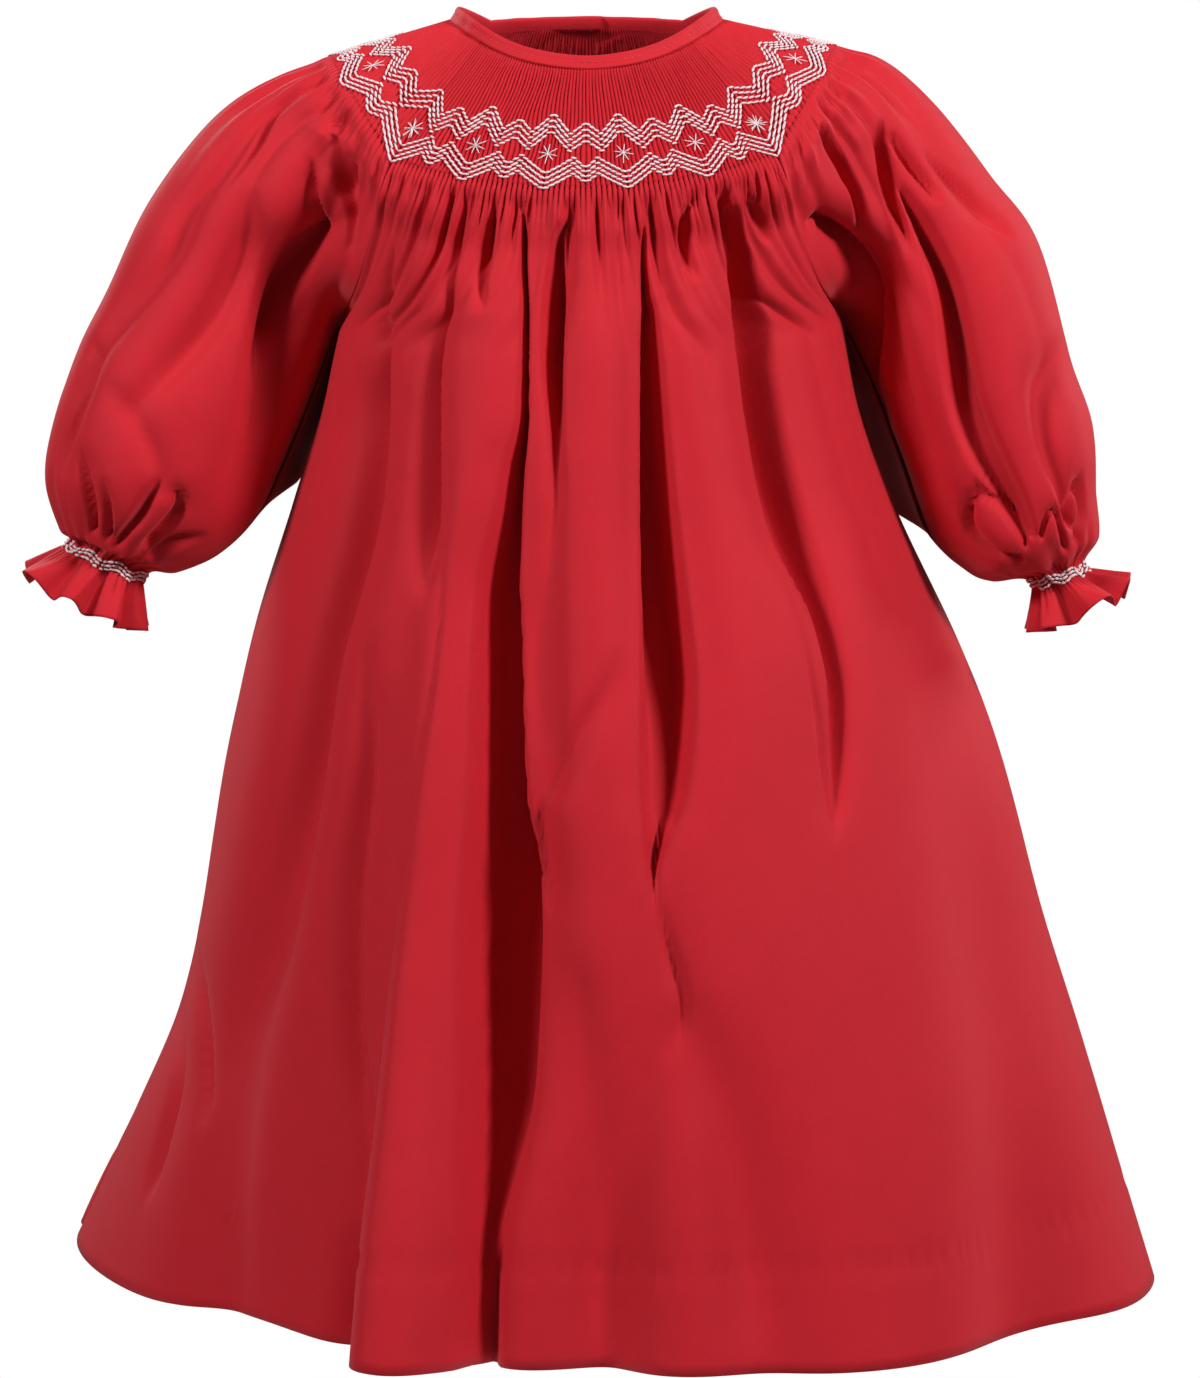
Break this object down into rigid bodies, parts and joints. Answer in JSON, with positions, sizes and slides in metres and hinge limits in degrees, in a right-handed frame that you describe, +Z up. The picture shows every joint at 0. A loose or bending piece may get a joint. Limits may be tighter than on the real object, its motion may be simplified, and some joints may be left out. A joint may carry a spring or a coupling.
{
  "type": "peasant dress",
  "caption": "Child's smocked peasant dress in plain red cotton with long bishop sleeves, frilled wrists and a flared skirt, kept in its worn hollow form.",
  "frame": {"origin": "middle of the neck opening, level with the top of the binding at the sides, where the wearer's neck and shoulders hold the dress", "axes": "+Z up, -Y the front of the dress, +X to the right of someone facing the front"},
  "size_m": [0.4269, 0.2952, 0.4829],
  "materials": {
    "red_cotton": "plain-woven cotton, soft matt with a faint sheen",
    "smocking_thread": "stranded cotton embroidery thread, slightly lustrous",
    "buttons": "polished"
  },
  "bodies": {
    "root": {"front": "red_cotton", "back_left": "red_cotton", "back_right": "red_cotton", "sleeve_left": "red_cotton", "sleeve_right": "red_cotton", "neck_binding": "red_cotton", "back_placket": "red_cotton", "button_top": "buttons", "button_middle": "buttons", "button_low": "buttons"}
  },
  "joints": []
}
